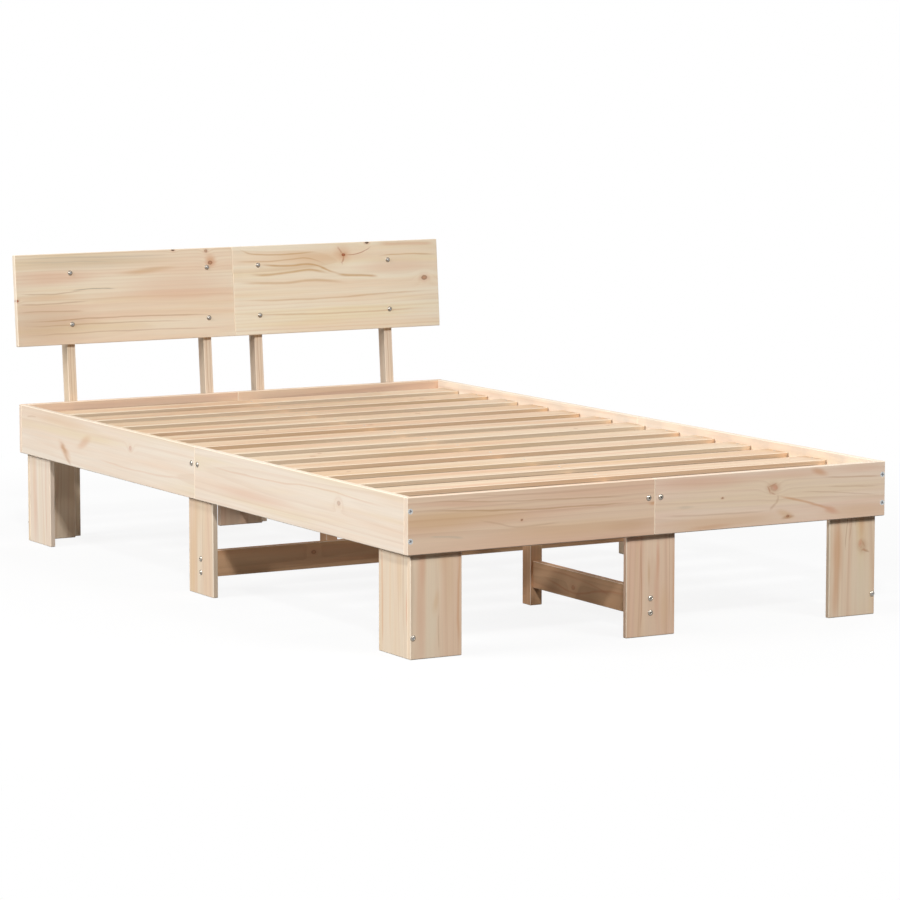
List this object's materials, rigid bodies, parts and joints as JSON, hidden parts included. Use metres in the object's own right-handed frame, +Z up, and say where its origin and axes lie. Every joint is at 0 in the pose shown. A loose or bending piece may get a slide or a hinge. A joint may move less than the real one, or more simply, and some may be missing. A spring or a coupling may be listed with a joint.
{
  "type": "bed frame",
  "caption": "Low pine bed frame of bolted boards with board legs, stretchers, a slatted deck on a centre beam, and a headboard on leaning posts.",
  "frame": {"origin": "centre of the box round the whole object, on the floor", "axes": "+X across the bed to the right as seen from the foot, +Y from the foot to the head, +Z up"},
  "size_m": [1.2422, 2.1026, 0.7293],
  "materials": {
    "frame_pine": "planed pale pine, long grain, unfinished",
    "leg_pine": "planed pale pine, upright grain, unfinished",
    "headboard_pine": "planed pale pine, unfinished",
    "batten_pine": "sawn and planed pale pine, unfinished",
    "bright_steel": "bright plated, smooth",
    "screw_zinc": "dull zinc plate"
  },
  "bodies": {
    "root": {"foot_board_left": "frame_pine", "head_rail_left": "frame_pine", "middle_leg_left": "leg_pine", "headboard_left": "headboard_pine", "side_rail_left_foot": "frame_pine", "leg_cover_left_foot": "leg_pine", "leg_side_left_foot": "leg_pine", "slat_ledger_left_foot": "batten_pine", "side_rail_left_head": "frame_pine", "leg_cover_left_head": "leg_pine", "leg_side_left_head": "leg_pine", "slat_ledger_left_head": "batten_pine", "foot_board_right": "frame_pine", "head_rail_right": "frame_pine", "middle_leg_right": "leg_pine", "headboard_right": "headboard_pine", "side_rail_right_foot": "frame_pine", "leg_cover_right_foot": "leg_pine", "leg_side_right_foot": "leg_pine", "slat_ledger_right_foot": "batten_pine", "side_rail_right_head": "frame_pine", "leg_cover_right_head": "leg_pine", "leg_side_right_head": "leg_pine", "slat_ledger_right_head": "batten_pine", "middle_leg_foot": "leg_pine", "long_stretcher_foot": "batten_pine", "centre_post_foot": "batten_pine", "centre_beam_foot": "batten_pine", "middle_leg_head": "leg_pine", "long_stretcher_head": "batten_pine", "centre_post_head": "batten_pine", "centre_beam_head": "batten_pine", "cross_stretcher": "batten_pine", "slat_01": "batten_pine", "slat_02": "batten_pine", "slat_03": "batten_pine", "slat_04": "batten_pine", "slat_05": "batten_pine", "slat_06": "batten_pine", "slat_07": "batten_pine", "slat_08": "batten_pine", "slat_09": "batten_pine", "slat_10": "batten_pine", "slat_11": "batten_pine", "slat_12": "batten_pine", "slat_13": "batten_pine", "headboard_post_1": "headboard_pine", "headboard_post_2": "headboard_pine", "headboard_post_3": "headboard_pine", "headboard_post_4": "headboard_pine", "seam_bolts": "bright_steel", "frame_bolts": "bright_steel", "dome_screws": "bright_steel", "hex_nuts": "bright_steel", "barrel_nuts": "bright_steel", "long_screws": "screw_zinc", "board_screws": "screw_zinc", "batten_screws": "screw_zinc", "slat_screws": "screw_zinc"}
  },
  "joints": []
}
